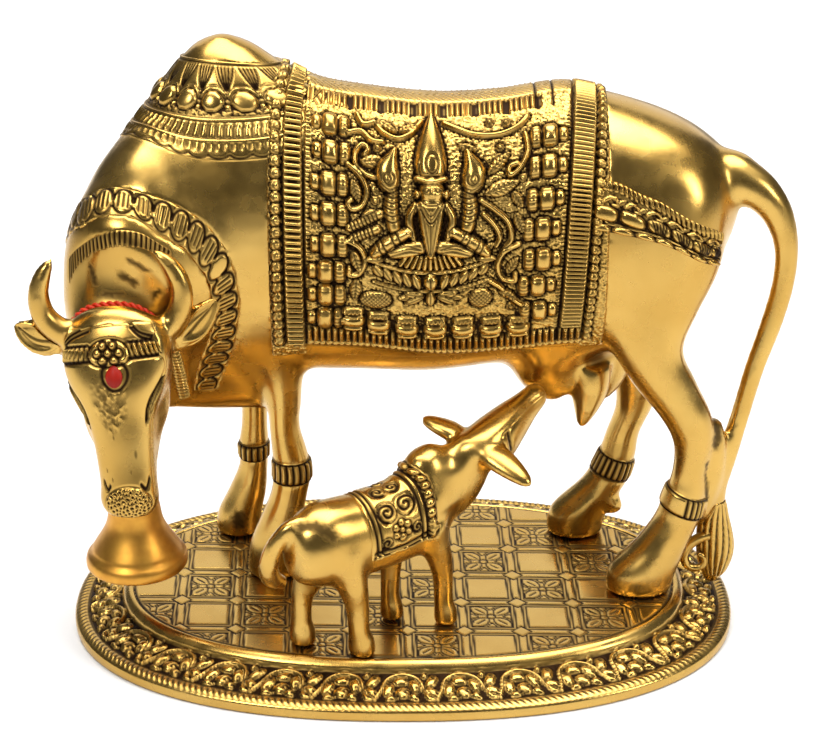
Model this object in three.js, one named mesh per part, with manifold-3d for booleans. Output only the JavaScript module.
// Kamdhenu: a gold-finished cow with her calf at the udder, on an oval plate.
// Millimetres, +Z up, +X towards the cow's tail, -Y towards the side that the figure on the saddle cloth faces.
// The origin is the centre of the plate's underside.

import * as THREE from 'three';
import { LoftGeometry } from 'three/addons/geometries/LoftGeometry.js';
import { mergeVertices } from 'three/addons/utils/BufferGeometryUtils.js';
import Module from 'manifold-3d';

const wasm = await Module();
wasm.setup();

// Oval plate
const PLATE_LENGTH = 224;
const PLATE_WIDTH = 147;
const PLATE_HEIGHT = 11.6;
const PLATE_SIDE_HEIGHT = 4.1;
const ROPE_WIDTH = 4.4;
const ROPE_DROP = 0.8;
const SCROLL_WIDTH = 11.6;
const SCROLL_DROP = 3.8;
const MOULDING_WIDTH = 3.2;
const OVAL_FULLNESS = 2.3;
const OVAL_POINTS = 50;
const LEAF_RISE = 0.9;
const ROPE_FLUTE = 0.35;

// Figures
const COW_HEIGHT = 187;
const CALF_HEIGHT = 76;
const CALF_HEADING = 34;
const CALF_PLACE = [-9, -39];

// Bell and thread
const BELL_MOUTH = 33.5;
const BELL_CROWN = 15;
const BELL_HEIGHT = 36;
const BELL_WALL = 1.6;
const BELL_RIM_HEIGHT = 28.6;
const BELL_PLACE = [-88, -21];
const BELL_EYE_RADIUS = 3;
const BELL_EYE_WIRE = 1.2;
const THREAD_DIAMETER = 2.4;
const THREAD_RING_RADIUS = 2.5;
const THREAD_RING_WIRE = 0.7;
const KNOT_RADIUS = 2.2;
const TILAK = { wide: 6.2, tall: 8, rise: 1.5 };

// Pieces that touch keep this gap
const GAP = 0.3;

const GOLD = { color: 0xd9a440, roughness: 0.28, metalness: 1 };
const SATIN = { color: 0xc98f3c, roughness: 0.38, metalness: 1 };
const RED = { color: 0xb01818, roughness: 0.35, metalness: 0 };

const TURN = Math.PI * 2;
const degrees = (value) => value * Math.PI / 180;
const blend = THREE.MathUtils.lerp;
const steps = (count) => Array.from({ length: count + 1 }, (_, k) => k / count);

// Free forms: rows of numbers smoothed into limbs

/** One value of a Catmull-Rom curve between b and c, with a before and d after. */
function smoothValue(a, b, c, d, t) {
	const t2 = t * t;
	return 0.5 * (2 * b + (c - a) * t + (2 * a - 5 * b + 4 * c - d) * t2 + (3 * b - a - 3 * c + d) * t2 * t);
}

/**
 * A limb is a smooth body round a path. Each row is x, y, z, half width, half depth towards
 * the front and half depth towards the back; a row may leave out the last one or two.
 */
class Limb {

	constructor(rows, { front = [0, 0, 1], along = null, square = 2, scale = 1 } = {}) {
		this.rows = rows.map(([x, y, z, wide, fore = wide, back = fore]) =>
			[x, y, z, wide, fore, back].map((value) => value * scale));
		this.front = new THREE.Vector3(...front);
		this.along = along && new THREE.Vector3(...along);
		this.square = square;
		this.last = rows.length - 1;
	}

	values(u) {
		const i = Math.min(Math.max(Math.floor(u), 0), this.last - 1);
		const row = (k) => this.rows[Math.min(Math.max(k, 0), this.last)];
		return row(i).map((value, c) => smoothValue(row(i - 1)[c], value, row(i + 1)[c], row(i + 2)[c], u - i));
	}

	frame(u) {
		const step = 0.05;
		const [x, y, z, wide, fore, back] = this.values(u);
		const ahead = new THREE.Vector3(...this.values(Math.min(u + step, this.last)));
		const behind = new THREE.Vector3(...this.values(Math.max(u - step, 0)));
		const along = this.along ? this.along.clone() : ahead.sub(behind).normalize();
		const side = this.front.clone().cross(along).normalize();
		const up = along.clone().cross(side);
		return { centre: new THREE.Vector3(x, y, z), along, side, up, wide, fore, back };
	}

	/** The skin at u along the path and an angle round it, from the side (0) towards the front (a quarter turn). */
	point(u, angle, rise = 0) {
		const { centre, side, up, wide, fore, back } = this.frame(u);
		const c = Math.cos(angle);
		const s = Math.sin(angle);
		const bulge = Math.pow(Math.pow(Math.abs(c), this.square) + Math.pow(Math.abs(s), this.square), -1 / this.square);
		const deep = s > 0 ? fore : back;
		return centre.clone()
			.addScaledVector(side, (wide * bulge + rise) * c)
			.addScaledVector(up, (deep * bulge + rise) * s);
	}

	/** A place on the skin, with the directions along the limb, round it and outwards. */
	place(u, angle) {
		const step = 0.02;
		const at = this.point(u, angle);
		const along = this.point(u + step, angle).sub(this.point(u - step, angle)).normalize();
		const round = this.point(u, angle + step).sub(this.point(u, angle - step)).normalize();
		const out = round.clone().cross(along).normalize();
		return { at, along, round, out };
	}

	ring(u, around, rise = 0) {
		return Array.from({ length: around }, (_, k) => this.point(u, (k / around) * TURN, rise));
	}

	/** The whole limb, with a number of faces round it and in each span between two rows. */
	solid(around = 10, spans = 2, rise = 0) {
		const rings = [];
		for (let k = 0; k <= this.last * spans; k++) rings.push(this.ring(k / spans, around, rise));
		return solidOf(new LoftGeometry(rings, { capStart: true, capEnd: true }));
	}

	/** A raised band round the limb from u0 to u1, leaning along the limb as lean says. */
	band(u0, u1, rise, around, lean = () => 0) {
		const rings = [0, 0.5, 1].map((t) => {
			const swell = 0.55 + 0.45 * Math.sin(t * Math.PI);
			return Array.from({ length: around }, (_, k) => {
				const angle = (k / around) * TURN;
				return this.point(u0 + (u1 - u0) * t + lean(angle), angle, rise * swell);
			});
		});
		return solidOf(new LoftGeometry(rings, { capStart: true, capEnd: true }));
	}

	/**
	 * A raised sheet over part of the skin. uOf, angleOf and riseOf take two shares, across and
	 * down the sheet; across and down are the lists of shares that get an edge.
	 */
	sheet(uOf, angleOf, across, down, riseOf) {
		const rings = across.map((s) => {
			const outer = down.map((t) => this.point(uOf(s, t), angleOf(s, t), riseOf(s, t)));
			const inner = down.map((t) => this.point(uOf(s, t), angleOf(s, t), -CLOTH_DEPTH));
			return [...outer, ...inner.reverse()];
		});
		const leftHanded = (uOf(1, 0) - uOf(0, 0)) * (angleOf(0, 1) - angleOf(0, 0)) < 0;
		if (leftHanded) rings.reverse();
		return solidOf(new LoftGeometry(rings, { capStart: true, capEnd: true }));
	}

	/** How far along the limb its path reaches a given x. */
	whereX(x) {
		let low = 0;
		let high = this.last;
		const rising = this.rows[this.last][0] > this.rows[0][0];
		for (let k = 0; k < 30; k++) {
			const middle = (low + high) / 2;
			const passed = this.values(middle)[0] > x;
			if (passed === rising) high = middle;
			else low = middle;
		}
		return low;
	}
}

// Joining closed meshes

/** A closed geometry as a solid that can be joined and cut. */
function solidOf(geometry) {
	const bare = new THREE.BufferGeometry().copy(geometry);
	for (const name of ['normal', 'uv']) bare.deleteAttribute(name);
	const merged = mergeVertices(bare, 1e-4);
	const vertProperties = new Float32Array(merged.attributes.position.array);
	const triVerts = new Uint32Array(merged.index.array);
	const solid = new wasm.Manifold(new wasm.Mesh({ numProp: 3, vertProperties, triVerts }));
	if (solid.volume() > 0) return solid;
	for (let k = 0; k < triVerts.length; k += 3) [triVerts[k], triVerts[k + 1]] = [triVerts[k + 1], triVerts[k]];
	return new wasm.Manifold(new wasm.Mesh({ numProp: 3, vertProperties, triVerts }));
}

/** Everything below the ground plane is cut off, so that soles are flat. */
function cutSoles(solid) {
	const slab = new THREE.BoxGeometry(1000, 1000, 100);
	slab.translate(0, 0, -50);
	return solid.subtract(solidOf(slab));
}

function join(solids) {
	return solids.reduce((whole, next) => whole.add(next));
}

function meshOf(name, solid, finish) {
	const { vertProperties, triVerts } = solid.getMesh();
	const geometry = new THREE.BufferGeometry();
	geometry.setAttribute('position', new THREE.BufferAttribute(vertProperties, 3));
	geometry.setIndex(new THREE.BufferAttribute(triVerts, 1));
	geometry.computeVertexNormals();
	const mesh = new THREE.Mesh(geometry, new THREE.MeshStandardMaterial(finish));
	mesh.name = name;
	return mesh;
}

/** An egg of three half sizes, turned so that its axes lie along three directions. */
function egg(centre, halves, axes, faces = [8, 5]) {
	const geometry = new THREE.SphereGeometry(1, ...faces);
	const turn = new THREE.Matrix4().makeBasis(...axes);
	geometry.applyMatrix4(new THREE.Matrix4().makeScale(...halves));
	geometry.applyMatrix4(turn);
	geometry.translate(centre.x, centre.y, centre.z);
	return solidOf(geometry);
}

const AXES = [new THREE.Vector3(1, 0, 0), new THREE.Vector3(0, 1, 0), new THREE.Vector3(0, 0, 1)];

// Plate

/** An oval that stands in from the plate's edge by a distance; wave lifts every second point. */
function plateOval(inset, height, wave = 0) {
	const full = (value) => Math.sign(value) * Math.pow(Math.abs(value), 2 / OVAL_FULLNESS);
	return Array.from({ length: OVAL_POINTS }, (_, k) => {
		const angle = (k / OVAL_POINTS) * TURN;
		return new THREE.Vector3(
			full(Math.cos(angle)) * (PLATE_LENGTH / 2 - inset),
			full(Math.sin(angle)) * (PLATE_WIDTH / 2 - inset),
			height + (k % 2 === 0 ? wave : 0));
	});
}

/** The plate's solid: a plain side, a fluted rope edge, a band of leaves, a round moulding and the floor. */
function basePlate() {
	const scrollInset = ROPE_WIDTH + SCROLL_WIDTH;
	const floorInset = scrollInset + MOULDING_WIDTH;
	const ropeTop = PLATE_SIDE_HEIGHT + ROPE_DROP;
	const scrollTop = ropeTop + SCROLL_DROP;
	const leafMiddle = (ropeTop + scrollTop) / 2;
	const rings = [
		plateOval(0, 0),
		plateOval(0, PLATE_SIDE_HEIGHT - ROPE_DROP),
		plateOval(ROPE_WIDTH * 0.5, ropeTop, ROPE_FLUTE),
		plateOval(ROPE_WIDTH, ropeTop - ROPE_FLUTE),
		plateOval(ROPE_WIDTH + SCROLL_WIDTH * 0.5, leafMiddle, LEAF_RISE),
		plateOval(scrollInset, scrollTop),
		plateOval(floorInset, PLATE_HEIGHT),
	];
	return solidOf(new LoftGeometry(rings, { capStart: true, capEnd: true }));
}

// Cow, in the millimetres of one that stands 187 tall

const COW_SCALE = COW_HEIGHT / 187;
const cowLimb = (rows, options) => new Limb(rows, { scale: COW_SCALE, ...options });
const MIDLINE = 14;
const CLOTH_RISE = 1.1;
const CLOTH_DEPTH = 2;
const CLOTH = { left: -42, right: 64, low: -38, border: 7, edge: 4, hem: 9 };

const barrel = cowLimb([
	[109, MIDLINE - 1, 134, 4, 6, 6],
	[106, MIDLINE, 132, 12, 14, 13],
	[100, MIDLINE, 129, 21, 23, 22],
	[92, MIDLINE, 126, 27, 31.5, 32],
	[80, MIDLINE, 123, 29.5, 40, 38],
	[63, MIDLINE, 121, 30, 47, 42],
	[50, MIDLINE, 121, 29.5, 49, 44],
	[31, MIDLINE, 120, 30, 47, 44],
	[9, MIDLINE, 119, 31, 47, 45.5],
	[-17, MIDLINE, 120, 31, 49, 46],
	[-38, MIDLINE, 121, 30.5, 52, 47],
	[-56, MIDLINE - 1, 121, 28.5, 52, 48],
	[-70, MIDLINE - 4, 122, 22, 42, 42],
	[-79, MIDLINE - 6, 122, 9, 18, 18],
], { along: [-1, 0, 0], square: 2.15 });

const hump = cowLimb([
	[-56, MIDLINE, 120, 20, 24, 24],
	[-57, MIDLINE, 145, 23, 32, 34],
	[-57, MIDLINE, 163, 19.5, 25, 30],
	[-57, MIDLINE, 174, 15, 17.5, 22],
	[-57, MIDLINE, 179, 12, 13.5, 16.5],
	[-57, MIDLINE, 184, 7.5, 8.5, 9.5],
	[-57, MIDLINE, 187, 2, 2, 2],
], { front: [-1, 0, 0], along: [0, 0, 1] });

const neck = cowLimb([
	[-45, 15, 122, 28, 48],
	[-65, 10.5, 120, 29, 45.5],
	[-79, -1, 112, 27.3, 40],
	[-87.5, -15, 104.5, 21.8, 33, 35],
	[-90.5, -26, 101, 14.5, 13, 26],
	[-91, -36, 99, 11, 8.5, 16],
]);

// The face looks a little to the cow's own right
const FACE = [-0.16, -0.97, 0.18];

const head = cowLimb([
	[-89.5, -32, 112.5, 6, 4, 4],
	[-89.5, -34, 110, 13.5, 7.5, 8],
	[-89, -36, 105, 16.5, 9, 14],
	[-88.5, -38.5, 98, 17, 9.5, 15],
	[-88, -41, 91, 15.3, 9.5, 15],
	[-87.4, -43.5, 83, 11.6, 8.5, 13],
	[-86.6, -46, 75.5, 9.7, 7.5, 10],
	[-86, -48, 68, 9, 6.8, 9],
	[-85.4, -49.5, 61, 8.8, 6.8, 8],
	[-85.2, -50.5, 55, 9, 7, 8],
	[-85, -51, 51, 6.4, 5, 5.4],
], { front: FACE, square: 2.3 });

const jaw = cowLimb([
	[-88, -31, 104, 12, 8, 8],
	[-87.4, -33, 94, 14.5, 9, 9],
	[-87.1, -35, 84, 14.6, 9, 9],
	[-87, -38, 76, 13, 8, 8],
	[-86, -41, 68, 9.6, 6.5, 6.5],
	[-85.6, -44, 60, 7, 5, 5],
], { front: FACE });

const horns = [
	cowLimb([
		[-99, -35, 105, 4.2],
		[-105, -36, 106.5, 4.2],
		[-110.5, -36, 111.5, 3.9],
		[-112, -36, 119, 3.4],
		[-110, -35.5, 126, 2.6],
		[-106.6, -35, 131.5, 0.7],
	], { front: [0, -1, 0] }),
	cowLimb([
		[-80, -34, 105, 4.2],
		[-74, -34, 106.5, 4.2],
		[-69.5, -33.5, 111.5, 3.9],
		[-68, -33, 119, 3.5],
		[-71, -32.5, 127, 2.9],
		[-77.5, -32, 133, 0.8],
	], { front: [0, -1, 0] }),
];

const ears = [
	cowLimb([
		[-100, -34, 101.5, 3, 2.2],
		[-106, -34, 102.5, 4.6, 2.4],
		[-112, -34, 103.5, 6.4, 2.2],
		[-117.5, -34, 106.5, 4.6, 1.8],
		[-121, -34, 109, 0.8, 0.6],
	], { front: [0, -1, 0] }),
	cowLimb([
		[-77, -32, 100, 3, 2.4],
		[-71, -31, 102, 4.4, 2.6],
		[-65, -30, 106, 5.8, 2.4],
		[-60, -30, 112, 3.8, 2],
		[-57.5, -30, 116, 0.8, 0.6],
	], { front: [0, -1, 0] }),
];

const dewlap = cowLimb([
	[-87, -26, 92, 3, 14, 15],
	[-82, -15, 86, 4.5, 16, 15],
	[-72, -3, 84, 7, 18, 18.5],
	[-60, 8, 84, 12, 20, 25],
	[-47, 13, 88, 16, 20, 35],
]);

/** Thigh or shoulder down to the fetlock, then a foot that points along -X. */
const DOWN = { front: [0, -1, 0], along: [0, 0, -1] };
const legs = {
	nearHind: cowLimb([
		[82, 2, 136, 13, 10, 12],
		[82, -3, 118, 19, 9, 16],
		[79, -6, 102, 16.5, 9, 14],
		[79.5, -7, 88, 11.6, 8.5, 12],
		[85.5, -7, 76, 10.5, 8, 9],
		[93, -7, 64, 8.6, 7.2, 8],
		[96, -7, 54, 6.6, 6.4],
		[95, -7, 43, 5.6, 5.8],
		[93.8, -7, 35, 7, 6.8],
		[92, -7, 27, 7.6, 7],
		[87, -7.5, 17, 9, 8],
		[81, -8.5, 8, 11.5, 8.5],
		[79.5, -8.5, 0, 11, 8.4],
	], DOWN),
	farHind: cowLimb([
		[84, 24, 130, 14, 12, 10],
		[84, 30, 108, 18, 13, 9],
		[83, 32, 90, 14, 11, 9],
		[82.5, 33, 74, 10.5, 9.5, 8],
		[81.5, 33, 60, 8.6, 8],
		[80, 33, 49, 6.4, 6.6],
		[76.5, 33, 39, 5.8, 6],
		[74.5, 33, 30, 6.6, 6.6],
		[70.5, 33, 20, 8, 7],
		[62, 33, 9, 10, 8],
		[60.5, 33, 0, 9.8, 8],
	], DOWN),
	nearFore: cowLimb([
		[-46, 6, 118, 15, 10, 14],
		[-44, 2, 100, 12.5, 9, 12],
		[-41.5, 2, 86, 8, 7.5, 9],
		[-39.5, 2, 72, 5.7, 6.2],
		[-39.5, 2, 57, 5.1, 5.6],
		[-38.2, 2, 48, 5.8, 6.2],
		[-37.2, 2, 39.5, 6.4, 6.4],
		[-38.5, 2, 31, 6.2, 6.2],
		[-41, 2.5, 22, 7.2, 7],
		[-43.5, 3, 11, 8.8, 8],
		[-44.3, 3.5, 0, 8.8, 8.2],
	], DOWN),
	farFore: cowLimb([
		[-52, 26, 112, 13, 13, 10],
		[-52, 32, 90, 11, 12, 9],
		[-52, 34, 72, 7, 8, 7],
		[-51.6, 34, 56, 4.8, 5.8],
		[-51.8, 34, 43, 4.5, 5.4],
		[-52.3, 34, 34, 5.2, 5.8],
		[-52.6, 34, 26, 5, 5.6],
		[-55, 34, 16, 6.6, 6.6],
		[-58, 34, 7, 7.8, 7.6],
		[-58.5, 34, 0, 7.8, 7.6],
	], DOWN),
};

/** The web of metal between the near hock and the tail. */
const hockWeb = cowLimb([
	[103, -4, 61, 2.2, 2.6],
	[102.6, -4, 53, 4.6, 4.2],
	[102, -4, 42, 5, 4.2],
	[100.5, -3.5, 32, 4.6, 4],
	[99, -3, 24, 3, 3],
], DOWN);

const udder = cowLimb([
	[47, MIDLINE, 92, 17, 12, 12],
	[49, MIDLINE, 81, 17, 15, 16],
	[54, MIDLINE - 1, 72, 11, 14, 14],
	[58, MIDLINE - 2, 67, 7, 9, 9],
], { front: [-1, 0, 0] });

const teats = [
	cowLimb([[61, 6, 72, 6], [61.5, 5, 65, 5.2], [60.5, 4, 58.5, 3], [59.8, 4, 54, 1]], { front: [-1, 0, 0] }),
	cowLimb([[42, 9, 86, 6.6], [43, 8, 79, 6.2], [44.5, 6.5, 72.5, 5.2], [45, 6, 71, 4.6]], { front: [-1, 0, 0] }),
];

const TAIL_FRONT = [0, -1, 0];
const tail = cowLimb([
	[98, 11, 138, 7],
	[104, 10, 142, 8],
	[109.5, 8, 140, 7.6],
	[115.7, 6, 136.5, 6.2],
	[121, 5, 129.5, 5],
	[124, 4, 119.5, 4],
	[123.8, 3.5, 107, 3.7],
	[120.8, 3, 93, 3.6],
	[116, 2, 77, 3.3],
	[112, 1, 60, 3.2],
	[108.5, 0, 46, 3.4],
	[105.6, 0, 33, 3.4],
	[105, 0.5, 24, 4.8],
	[106.4, 1, 11, 6.2, 5.6],
	[106, 2, 2, 4.4],
	[105, 2, -3, 2],
], { front: TAIL_FRONT });

// Thread, in the cow's millimetres: from the knot over the nape and back, in a crease behind the jaw

const EYE_CENTRE = BELL_HEIGHT + BELL_EYE_RADIUS;
const RING_HEIGHT = BELL_RIM_HEIGHT + EYE_CENTRE + BELL_EYE_RADIUS - PLATE_HEIGHT - GAP;
const KNOT_HEIGHT = RING_HEIGHT + THREAD_RING_RADIUS + KNOT_RADIUS * 0.6;
const nape = [
	[-81.5, -22.5, 69],
	[-77.5, -24.5, 78],
	[-76, -26.5, 90],
	[-77, -28.5, 101],
	[-81.6, -30.2, 109.6],
	[-90, -31, 113.6],
	[-98.8, -30, 109.6],
	[-104, -28, 101],
	[-104.8, -26.5, 90],
	[-102, -24.5, 78],
	[-95, -22.5, 69],
].map((point) => point.map((value) => value * COW_SCALE));
const knotPlace = [...BELL_PLACE, KNOT_HEIGHT];
const threadRows = [knotPlace, ...nape, knotPlace].map((point) => [...point, THREAD_DIAMETER / 2]);
const threadLoop = new Limb(threadRows, { front: [0, -1, 0.2] });

// Carving on the cow

/** The place on the barrel at x and a height, on the near side (1) or the far side (-1), with its directions. */
function onBarrel(x, height, hand = 1) {
	const u = barrel.whereX(x * COW_SCALE);
	const angleOf = (angle) => (hand === 1 ? angle : Math.PI - angle);
	let low = -1.4;
	let high = 1.55;
	for (let k = 0; k < 24; k++) {
		const middle = (low + high) / 2;
		if (barrel.point(u, angleOf(middle)).z > height * COW_SCALE) high = middle;
		else low = middle;
	}
	const at = barrel.point(u, angleOf(low));
	const above = barrel.point(u, angleOf(low + 0.03)).sub(at).normalize();
	const right = new THREE.Vector3(hand, 0, 0);
	const out = right.clone().cross(above).normalize();
	return { at, right, above, out };
}

/** A boss on the barrel, its half sizes across, up and out. */
function boss(x, height, halves, hand = 1, faces = [5, 3]) {
	const { at, right, above, out } = onBarrel(x, height, hand);
	return egg(at.clone().addScaledVector(out, CLOTH_RISE), halves.map((half) => half * COW_SCALE), [right, above, out], faces);
}

/** The cloth hangs to the same height on both flanks; its border is raised along the sides and the hem. */
function saddleCloth() {
	const { left, right, low, border, edge, hem } = CLOTH;
	const long = right - left;
	const turn = 180 - 2 * low;
	const side = [edge / long, (edge + 0.4) / long, (edge + border) / long, (edge + border + 0.4) / long];
	const end = [hem / turn, (hem + 1) / turn];
	const both = (shares) => [0, ...shares, ...steps(4).filter((k) => k > 0.15 && k < 0.85),
		...shares.map((k) => 1 - k).reverse(), 1];
	const inBorder = (s, t) => {
		const across = Math.min(s, 1 - s);
		const down = Math.min(t, 1 - t);
		return across > side[0] + 1e-6 && (across < side[2] + 1e-6 || down < end[0] + 1e-6);
	};
	return barrel.sheet(
		(s) => barrel.whereX(blend(left, right, s) * COW_SCALE),
		(s, t) => degrees(blend(low, 180 - low, t)),
		both(side), [0, ...end, ...steps(9).slice(1, -1), 1 - end[1], 1 - end[0], 1],
		(s, t) => CLOTH_RISE * COW_SCALE * (inBorder(s, t) ? 1.8 : 1));
}

/** Columns of double beads beside the figure, and a row of them under it. */
function saddleBeads() {
	const beads = [];
	const rows = 7;
	for (let k = 0; k < rows; k++) {
		const height = blend(108, 161, k / (rows - 1));
		beads.push(boss(-24.5, height, [4.6, 3.1, 2.2], 1, [4, 3]));
		beads.push(boss(blend(44, 47.5, k / (rows - 1)), height, [4.6, 3.1, 2.2], 1, [4, 3]));
	}
	const columns = 7;
	for (let k = 0; k < columns; k++) beads.push(boss(blend(-16, 37, k / (columns - 1)), 99.5, [3.8, 3, 2], 1, [4, 3]));
	return beads;
}

/** The seated figure of the near flank: tall crown, round head, four arms, crossed legs and the lotus under them. */
function seatedFigure() {
	const x = 9;
	const pair = (offset, height, halves) => [-1, 1].map((side) => boss(x + side * offset, height, halves));
	return [
		boss(x, 154, [3.4, 7.2, 3], 1, [6, 4]),
		boss(x, 143.6, [4.4, 4.8, 3.8], 1, [6, 4]),
		boss(x, 133, [5.4, 9.4, 3.2], 1, [6, 4]),
		...pair(12.4, 147.5, [3.6, 4.4, 3]),
		...pair(11.4, 139, [2.4, 5, 2.2]),
		...pair(8.4, 129.4, [4.6, 2.2, 2.4]),
		...pair(12.5, 123.4, [6, 3.2, 2.6]),
		boss(x, 121.2, [13, 3.2, 2.6], 1, [6, 3]),
		boss(x, 115.6, [17.5, 3, 2], 1, [6, 3]),
		boss(x, 109.6, [12, 3, 1.6], 1, [6, 3]),
	];
}

/** The far flank has a plain rosette in the figure's place: three long petals that cross. */
function rosette() {
	const { at, right, above, out } = onBarrel(9, 133, -1);
	const halves = [13, 3.6, 2.6].map((half) => half * COW_SCALE);
	return [0, 60, 120].map((turn) => {
		const long = right.clone().applyAxisAngle(out, degrees(turn));
		const short = above.clone().applyAxisAngle(out, degrees(turn));
		return egg(at.clone().addScaledVector(out, CLOTH_RISE), halves, [long, short, out], [6, 3]);
	});
}

/** The cloth over the hump and the withers, with four round bosses on the near side. */
function humpCloth() {
	const bosses = steps(3).map((share) => {
		const { at, along, round, out } = hump.place(2.72, degrees(blend(126, 234, share)));
		const halves = [3.6, 3.6, 2.4].map((half) => half * COW_SCALE);
		return egg(at.addScaledVector(out, 0.8), halves, [round, along.negate(), out], [5, 3]);
	});
	const withers = barrel.sheet(
		(s) => barrel.whereX(blend(-74, -43, s) * COW_SCALE),
		(s, t) => degrees(blend(41, 139, t)),
		steps(3), steps(4), () => 0.9 * COW_SCALE);
	return [hump.band(2.05, 3.75, 1.1 * COW_SCALE, 10), withers, ...bosses];
}

/** The garland lies lower on the cow's near side than on the nape. */
const garlandLean = (angle) => 0.62 * Math.sin(angle) - 0.34 * Math.cos(angle);

function trappings() {
	const crupper = (hand) => {
		const uOf = (s) => barrel.whereX(blend(63, 105, s) * COW_SCALE);
		const angleOf = (s, t) => {
			const angle = degrees(blend(blend(15, -30, s), blend(33, -2, s), t));
			return hand === 1 ? angle : Math.PI - angle;
		};
		return barrel.sheet(uOf, angleOf, steps(4), [0, 1], () => 1.5 * COW_SCALE);
	};
	return [
		neck.band(2.32, 2.78, 0.9 * COW_SCALE, 13, garlandLean),
		crupper(1),
		crupper(-1),
		legs.nearHind.band(7.5, 9.4, 1.3 * COW_SCALE, 7),
		legs.farHind.band(6.5, 7.8, 1.3 * COW_SCALE, 7),
		legs.nearFore.band(5.2, 6.6, 1.3 * COW_SCALE, 7),
		legs.farFore.band(5, 6.2, 1.3 * COW_SCALE, 7),
	];
}

/** An egg that lies on the face, its half sizes across, down the face and out. */
function onFace(u, angle, halves, lift = 0, faces = [6, 4]) {
	const { at, along, round, out } = head.place(u, degrees(angle));
	return egg(at.addScaledVector(out, lift), halves.map((half) => half * COW_SCALE), [round, along.negate(), out], faces);
}

/** Forehead band with its medallion, the eyes and the studded muzzle. */
function faceOrnaments() {
	const browOf = (s) => blend(1.7, 2.45, s);
	const across = (s, t) => degrees(blend(18, 162, t));
	return [
		head.sheet(browOf, across, [0, 1], steps(6), () => 0.7 * COW_SCALE),
		onFace(2.25, 90, [5.8, 3.6, 1.2], 0.4),
		onFace(3.95, 28, [2.4, 3.6, 1.6]),
		onFace(3.95, 152, [2.4, 3.6, 1.6]),
		onFace(8.9, 90, [8, 3.4, 1.2], 0, [6, 3]),
	];
}

const lifted = (solid) => solid.translate([0, 0, PLATE_HEIGHT + GAP]);

/** A drop of enamel that lies on the forehead and tapers upwards. */
function tilak() {
	const { wide, tall, rise } = TILAK;
	const drop = join([
		onFace(3.65, 84, [wide / 2, tall * 0.36, rise], 0, [8, 5]),
		onFace(3.37, 84, [wide / 3.4, tall * 0.4, rise * 0.8], 0, [6, 4]),
	]);
	return lifted(drop.subtract(head.solid(12, 1, GAP)));
}

function cow() {
	const standing = cutSoles(join([
		barrel.solid(16, 1),
		hump.solid(10, 1),
		neck.solid(13, 2),
		dewlap.solid(8, 1),
		head.solid(12, 1),
		jaw.solid(8, 1),
		...horns.map((horn) => horn.solid(6, 1)),
		...ears.map((ear) => ear.solid(5, 1)),
		...Object.values(legs).map((leg) => leg.solid(7, 1)),
		hockWeb.solid(6, 1),
		udder.solid(8, 1),
		...teats.map((teat) => teat.solid(6, 1)),
	]));
	const carved = [
		tail.solid(6, 1),
		saddleCloth(),
		...saddleBeads(),
		...seatedFigure(),
		...rosette(),
		...humpCloth(),
		...trappings(),
		...faceOrnaments(),
	];
	return lifted(join([standing, ...carved]).subtract(threadLoop.solid(6, 1, GAP)));
}

// Calf, in the millimetres of one that stands 76 tall at the muzzle

const CALF_SCALE = CALF_HEIGHT / 76;
const calfLimb = (rows, options) => new Limb(rows, { scale: CALF_SCALE, ...options });

const calfBarrel = calfLimb([
	[-31.5, 0, 38, 3, 5],
	[-29.5, 0, 38, 8, 11, 9],
	[-21, 0, 39, 11.4, 14.6, 13.5],
	[-6, 0, 39, 11.6, 14, 14],
	[8, 0, 40, 11.6, 13.5, 14.5],
	[18, 0, 41, 10.5, 15, 14.5],
	[25, 0, 42, 7.5, 12, 13],
	[28, 0, 42, 3, 5, 6],
], { along: [1, 0, 0] });

const calfHump = calfLimb([
	[20, 0, 45, 8.5, 11],
	[20.5, 0, 55, 7.5, 9],
	[21, 0, 60.5, 5, 6],
	[21, 0, 63, 1.6],
], { front: [1, 0, 0] });

const calfNeck = calfLimb([
	[14, 0, 43, 9, 12, 12],
	[23, 0, 47, 7.8, 12, 14],
	[30.5, -1.5, 53, 6.8, 9, 13],
	[37, -2.5, 59, 6, 6.5, 9],
]);

const CALF_CROWN = [-0.35, 0.3, 0.89];
const calfHead = calfLimb([
	[32, -3.2, 56.5, 4, 3.6],
	[36, -3, 58, 7.4, 6.4, 7.4],
	[43, -2.2, 61, 8, 6.4, 10.6],
	[51, -1, 64.5, 6.6, 5.4, 8.8],
	[59, 0.2, 67.6, 4.8, 4.2, 6],
	[64.5, 0.8, 69.6, 4.4, 3.8, 4.2],
	[66.5, 1, 70.2, 2.8, 2.4, 2.6],
], { front: CALF_CROWN });

const calfEars = [
	calfLimb([
		[36, 2, 61, 2.6, 1.8], [33.5, 5.5, 62.8, 3.6, 2], [31, 8.5, 64.2, 3, 1.7], [29, 11, 65.5, 0.8, 0.6],
	], { front: CALF_CROWN }),
	calfLimb([
		[38, -7.5, 59, 2.6, 1.8], [39.5, -12.5, 58.4, 3.8, 2], [41, -17.5, 57, 3.2, 1.7], [42, -22, 55.6, 0.9, 0.6],
	], { front: CALF_CROWN }),
];

const calfTail = calfLimb([
	[-27, 1, 49, 2.4], [-31.5, 2, 47, 2.6], [-35, 4, 41, 2.9], [-36, 6, 34, 3.2], [-34, 8, 28, 3.2], [-29, 9, 24, 2.2],
], { front: [0, 1, 0] });

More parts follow.
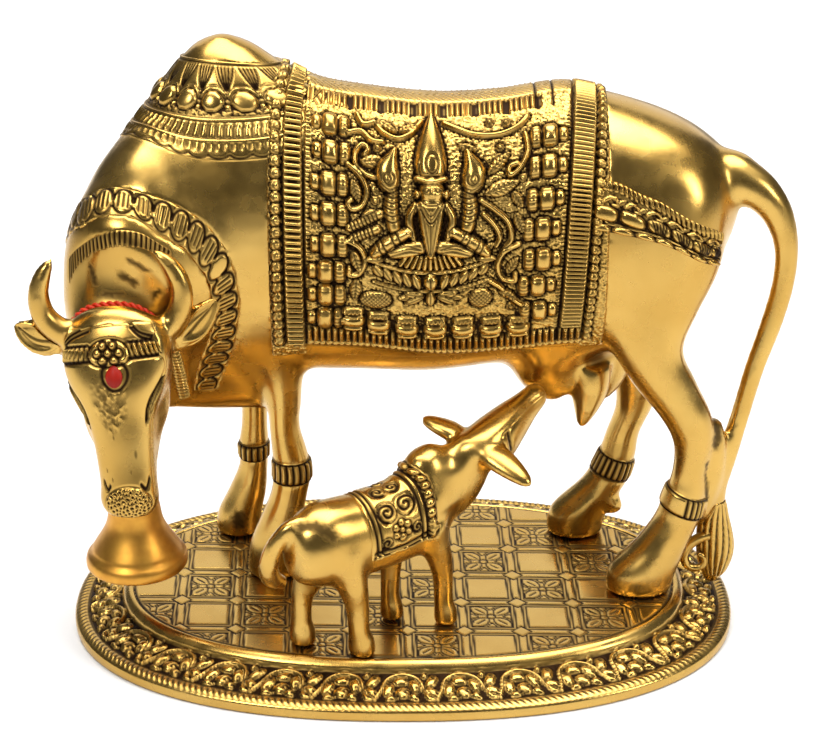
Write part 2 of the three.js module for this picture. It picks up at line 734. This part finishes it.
const calfLegs = [
	calfLimb([
		[-18, 5, 36, 8, 6], [-20, 7, 26, 6.2, 4.8], [-22, 8.8, 18, 4, 3.6], [-22.5, 9.2, 9, 3.6, 3.4],
		[-22.2, 9.3, 4, 4.6, 4.2], [-22, 9.3, -2, 4.6, 4.2],
	], { front: [1, 0, 0] }),
	calfLimb([
		[-15, -5, 36, 8, 6], [-13, -6.4, 26, 6.4, 4.8], [-11.5, -7.2, 18, 4.4, 3.8], [-11, -7.4, 9, 3.8, 3.4],
		[-10, -7.2, 4, 4.8, 4.2], [-9.6, -7.2, -2, 4.8, 4.2],
	], { front: [1, 0, 0] }),
	calfLimb([
		[11, 5, 36, 5.6, 4.4], [10.6, 6, 27, 4.8, 4.2], [10.2, 6.2, 18, 3.6, 3.4], [10, 6.3, 9, 3.2, 3.2],
		[10.6, 6.3, 4, 3.9, 3.8], [10.8, 6.3, -2, 4, 3.8],
	], { front: [1, 0, 0] }),
	calfLimb([
		[17, -5, 38, 7, 5], [20.5, -6, 27, 5, 4.4], [22.4, -6.2, 18, 3.8, 3.4], [22.8, -6.2, 9, 3.2, 3.2],
		[23.6, -6.2, 4, 3.9, 3.8], [23.8, -6.2, -2, 4, 3.8],
	], { front: [1, 0, 0] }),
];

const CALF_CLOTH = { left: -4, right: 17, low: -42 };

function calfCloth() {
	const { left, right, low } = CALF_CLOTH;
	return calfBarrel.sheet(
		(s) => calfBarrel.whereX(blend(left, right, s) * CALF_SCALE),
		(s, t) => degrees(blend(low, 180 - low, t)),
		[0, 0.5, 0.84, 0.86, 1], steps(8),
		(s) => CALF_SCALE * (s > 0.85 ? 1.3 : 0.7));
}

function calf() {
	const parts = [
		calfBarrel.solid(9, 1),
		calfHump.solid(6, 1),
		calfNeck.solid(6, 1),
		calfHead.solid(6, 1),
		...calfEars.map((ear) => ear.solid(5, 1)),
		calfTail.solid(6, 1),
		...calfLegs.map((leg) => leg.solid(5, 1)),
		calfCloth(),
	];
	return cutSoles(join(parts)).rotate([0, 0, CALF_HEADING]).translate([...CALF_PLACE, PLATE_HEIGHT + GAP]);
}

// Bell and thread

const BELL_STEPS = 4;
const BELL_SIDES = 16;
const BELL_DOME = 3;

/** The outside radius of the bell, at a share of the way down from the shoulder to the lip. */
function bellRadius(share) {
	const crown = BELL_CROWN / 2;
	return crown + (BELL_MOUTH / 2 - crown) * Math.pow(share, 3.2) + 0.6 * Math.sin(share * Math.PI);
}

function bell() {
	const shoulder = BELL_HEIGHT - BELL_DOME;
	const lip = BELL_WALL / 2;
	const shares = Array.from({ length: BELL_STEPS + 1 }, (_, k) => k / BELL_STEPS);
	const heightAt = (share) => lip + (shoulder - lip) * (1 - share);
	const outside = shares.map((share) => [bellRadius(share), heightAt(share)]);
	const inside = shares.map((share) => [bellRadius(share) - BELL_WALL, heightAt(share) - (share === 0 ? BELL_WALL : 0)]);
	const profile = [
		[0, shoulder - BELL_WALL],
		...inside,
		[BELL_MOUTH / 2 - BELL_WALL * 0.75, 0],
		[BELL_MOUTH / 2 - BELL_WALL * 0.25, 0],
		...outside.reverse(),
		[BELL_CROWN * 0.3, BELL_HEIGHT],
		[0, BELL_HEIGHT],
	];
	const shell = new THREE.LatheGeometry(profile.map(([r, z]) => new THREE.Vector2(r, z)), BELL_SIDES);
	shell.rotateX(Math.PI / 2);
	const eye = new THREE.TorusGeometry(BELL_EYE_RADIUS, BELL_EYE_WIRE, 5, 8);
	eye.rotateY(Math.PI / 2);
	eye.translate(0, 0, EYE_CENTRE);
	return join([solidOf(shell), solidOf(eye)]).translate([...BELL_PLACE, BELL_RIM_HEIGHT]);
}

/** The thread is knotted above the bell's eye, and a ring of it goes through the eye. */
function neckThread() {
	const ring = new THREE.TorusGeometry(THREAD_RING_RADIUS, THREAD_RING_WIRE, 4, 8);
	ring.rotateX(Math.PI / 2);
	ring.translate(...BELL_PLACE, RING_HEIGHT);
	const knot = egg(new THREE.Vector3(...BELL_PLACE, KNOT_HEIGHT), [KNOT_RADIUS, KNOT_RADIUS, KNOT_RADIUS], AXES, [6, 4]);
	return lifted(join([threadLoop.solid(6, 1), knot, solidOf(ring)]));
}

const group = new THREE.Group();
group.add(meshOf('base_plate', basePlate(), GOLD));
group.add(meshOf('cow', cow(), GOLD));
group.add(meshOf('calf', calf(), GOLD));
group.add(meshOf('bell', bell(), SATIN));
group.add(meshOf('neck_thread', neckThread(), RED));
group.add(meshOf('tilak', tilak(), RED));

export default group;
